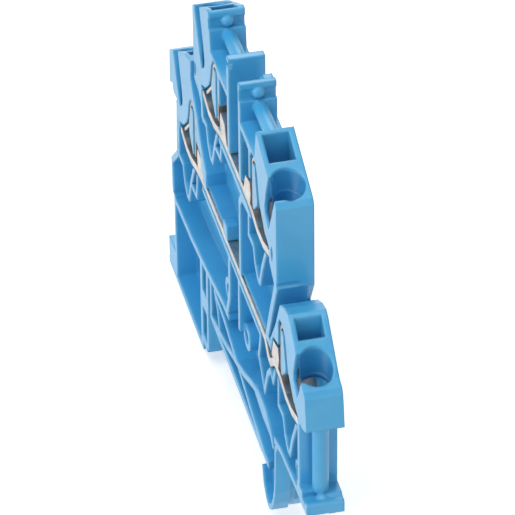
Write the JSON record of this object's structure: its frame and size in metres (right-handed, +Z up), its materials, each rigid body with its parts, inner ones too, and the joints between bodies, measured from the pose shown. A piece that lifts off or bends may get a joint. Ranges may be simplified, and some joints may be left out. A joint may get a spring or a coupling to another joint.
{
  "type": "double-level terminal block",
  "caption": "Slim double-level terminal block with stepped wire funnels, driver slots, clamp springs on two current bars, and a foot for a 35 mm rail.",
  "frame": {"origin": "middle of the rail seat, half way through the block's thickness", "axes": "+X along the block towards the end seen in the picture, +Y across the thickness towards the closed side, +Z up from the rail"},
  "size_m": [0.086, 0.0052, 0.0632],
  "materials": {
    "housing_plastic": "satin moulded polyamide",
    "bar_metal": "tin plated",
    "spring_steel": "rolled spring strip"
  },
  "bodies": {
    "block": {"housing": "housing_plastic", "upper_current_bar": "bar_metal", "lower_current_bar": "bar_metal"},
    "near_upper_clamp": {"near_upper_clamp_spring": "spring_steel"},
    "far_upper_clamp": {"far_upper_clamp_spring": "spring_steel"},
    "near_lower_clamp": {"near_lower_clamp_spring": "spring_steel"},
    "far_lower_clamp": {"far_lower_clamp_spring": "spring_steel"}
  },
  "joints": [
    {"name": "near_upper_clamp_rock", "type": "hinge", "parent": "block", "child": "near_upper_clamp", "pos_m": [0.0116, 0, 0.0453], "axis": [0, 1, 0], "range_deg": [0, 5], "stiffness_Nm_per_rad": 2.5},
    {"name": "far_upper_clamp_rock", "type": "hinge", "parent": "block", "child": "far_upper_clamp", "pos_m": [-0.0116, 0, 0.0453], "axis": [0, -1, 0], "range_deg": [0, 5], "stiffness_Nm_per_rad": 2.5},
    {"name": "near_lower_clamp_rock", "type": "hinge", "parent": "block", "child": "near_lower_clamp", "pos_m": [0.02705, 0, 0.02905], "axis": [0, 1, 0], "range_deg": [0, 5], "stiffness_Nm_per_rad": 2.5},
    {"name": "far_lower_clamp_rock", "type": "hinge", "parent": "block", "child": "far_lower_clamp", "pos_m": [-0.02705, 0, 0.02905], "axis": [0, -1, 0], "range_deg": [0, 5], "stiffness_Nm_per_rad": 2.5}
  ]
}
